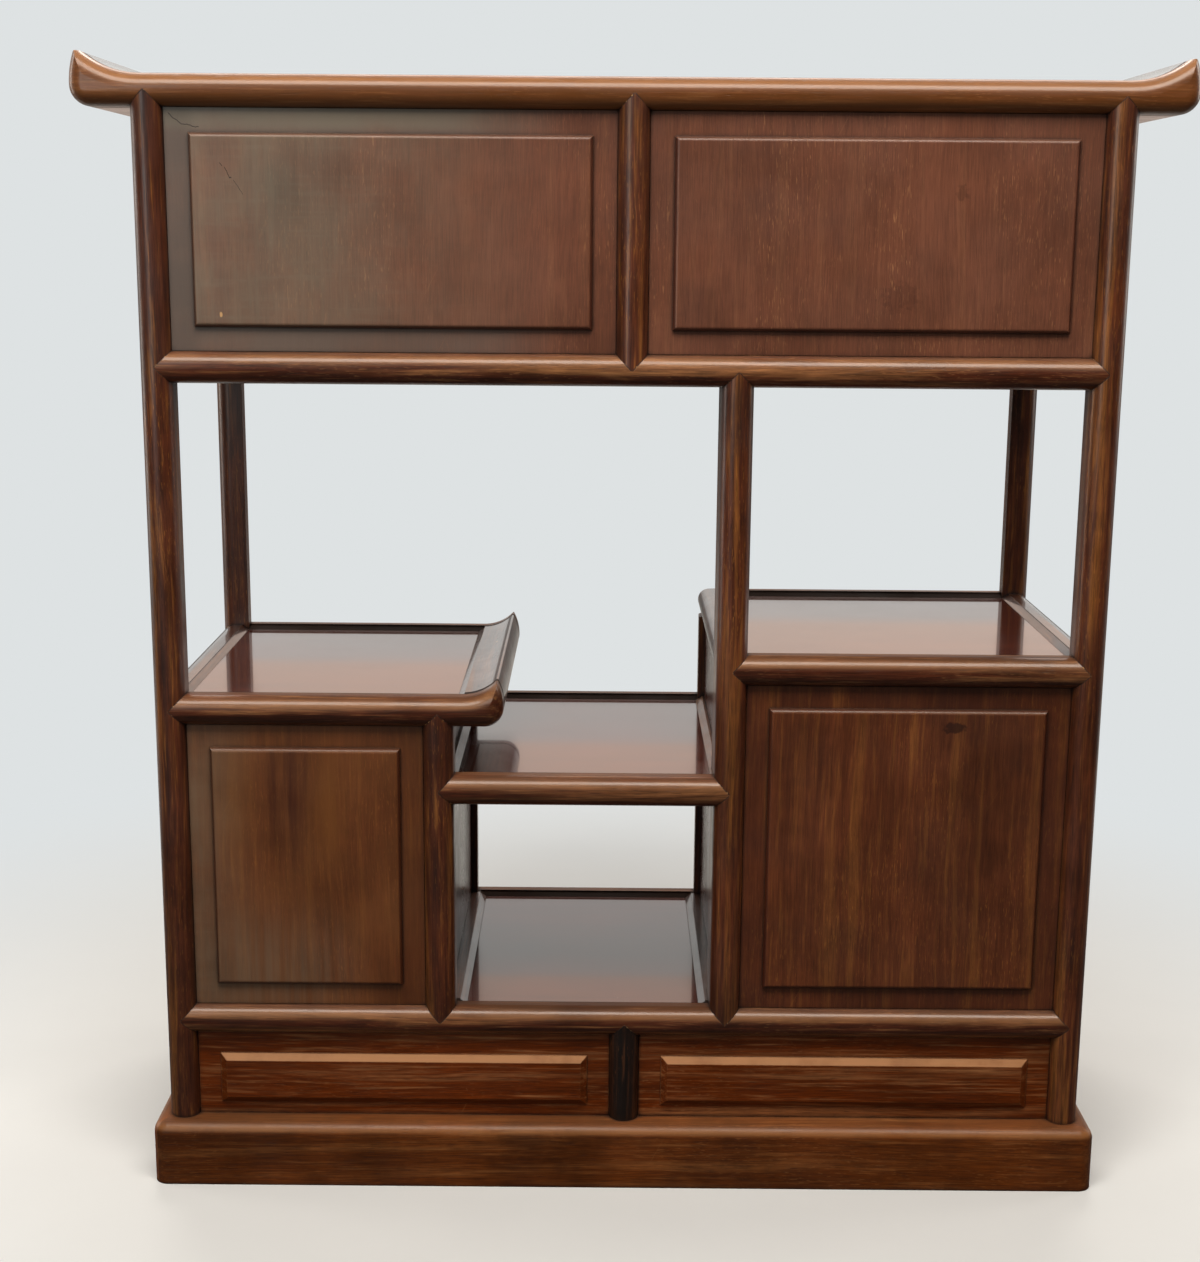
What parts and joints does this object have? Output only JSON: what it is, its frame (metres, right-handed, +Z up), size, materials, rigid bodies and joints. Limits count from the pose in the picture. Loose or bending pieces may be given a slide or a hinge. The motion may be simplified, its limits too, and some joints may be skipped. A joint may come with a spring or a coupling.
{
  "type": "display cabinet",
  "caption": "Dark hardwood display cabinet with stepped open shelves, closed compartments with doors and drawers, a top with upturned ends and a moulded plinth.",
  "frame": {"origin": "on the floor, under the middle of the cabinet", "axes": "+X to the right and +Y away from someone facing the panelled back, +Z up; doors and drawers open towards +Y"},
  "size_m": [0.925, 0.365, 0.9913],
  "materials": {
    "frame_wood": "dark hardwood, satin lacquer",
    "panel_wood": "dark hardwood, satin lacquer",
    "base_wood": "orange-brown hardwood, satin lacquer",
    "shelf_wood": "dark hardwood, polished lacquer",
    "plinth_wood": "brown hardwood, worn lacquer",
    "lining_wood": "plain sanded wood",
    "brass": "aged satin brass"
  },
  "bodies": {
    "carcass": {"back_panels_base": "base_wood", "back_panels_lower": "panel_wood", "back_panels_upper": "panel_wood", "base_cross_rails": "frame_wood", "base_floor_panels": "shelf_wood", "base_rail_back": "frame_wood", "base_rail_front": "frame_wood", "base_rails_side": "frame_wood", "bay_walls": "panel_wood", "door_pins": "brass", "drawer_guides": "lining_wood", "left_shelf_panel": "shelf_wood", "left_shelf_rail_back": "frame_wood", "left_shelf_rail_front": "frame_wood", "left_shelf_rails_cross": "frame_wood", "left_shelf_scroll": "frame_wood", "middle_shelf_frame": "frame_wood", "middle_shelf_panel": "shelf_wood", "muntin_upper_back": "frame_wood", "muntins_base": "frame_wood", "plinth_deck": "lining_wood", "plinth_frame": "plinth_wood", "post_back_centre": "frame_wood", "post_back_inner": "frame_wood", "post_back_left": "frame_wood", "post_back_right": "frame_wood", "post_front_centre": "frame_wood", "post_front_inner": "frame_wood", "post_front_left": "frame_wood", "post_front_right": "frame_wood", "right_shelf_panel": "shelf_wood", "right_shelf_rail_back": "frame_wood", "right_shelf_rail_front": "frame_wood", "right_shelf_rails_side": "frame_wood", "side_panels": "panel_wood", "top_panel": "shelf_wood", "top_rail_back": "frame_wood", "top_rail_front": "frame_wood", "top_scrolls": "frame_wood", "upper_floor_panel": "lining_wood", "upper_rail_back": "frame_wood", "upper_rail_front": "frame_wood", "upper_rails_side": "frame_wood"},
    "left_slider": {"sliding_door_left": "panel_wood", "sliding_pull_left": "brass"},
    "right_slider": {"sliding_door_right": "panel_wood", "sliding_pull_right": "brass"},
    "left_door": {"hinged_door_left": "panel_wood", "door_knob_left": "brass"},
    "right_door": {"hinged_door_right": "panel_wood", "door_knob_right": "brass"},
    "left_drawer": {"drawer_front_left": "base_wood", "drawer_box_left": "lining_wood", "drawer_bottom_left": "lining_wood", "drawer_knob_left": "brass"},
    "right_drawer": {"drawer_front_right": "base_wood", "drawer_box_right": "lining_wood", "drawer_bottom_right": "lining_wood", "drawer_knob_right": "brass"}
  },
  "joints": [
    {"name": "left_slider_slide", "type": "slide", "parent": "carcass", "child": "left_slider", "axis": [1, 0, 0], "range_m": [0, 0.37]},
    {"name": "right_slider_slide", "type": "slide", "parent": "carcass", "child": "right_slider", "axis": [-1, 0, 0], "range_m": [0, 0.37]},
    {"name": "left_door_hinge", "type": "hinge", "parent": "carcass", "child": "left_door", "pos_m": [-0.3775, 0.1495, 0.2955], "axis": [0, 0, 1], "range_deg": [0, 95]},
    {"name": "right_door_hinge", "type": "hinge", "parent": "carcass", "child": "right_door", "pos_m": [0.3775, 0.1495, 0.315], "axis": [0, 0, -1], "range_deg": [0, 95]},
    {"name": "left_drawer_slide", "type": "slide", "parent": "carcass", "child": "left_drawer", "axis": [0, 1, 0], "range_m": [0, 0.2]},
    {"name": "right_drawer_slide", "type": "slide", "parent": "carcass", "child": "right_drawer", "axis": [0, 1, 0], "range_m": [0, 0.2]}
  ]
}
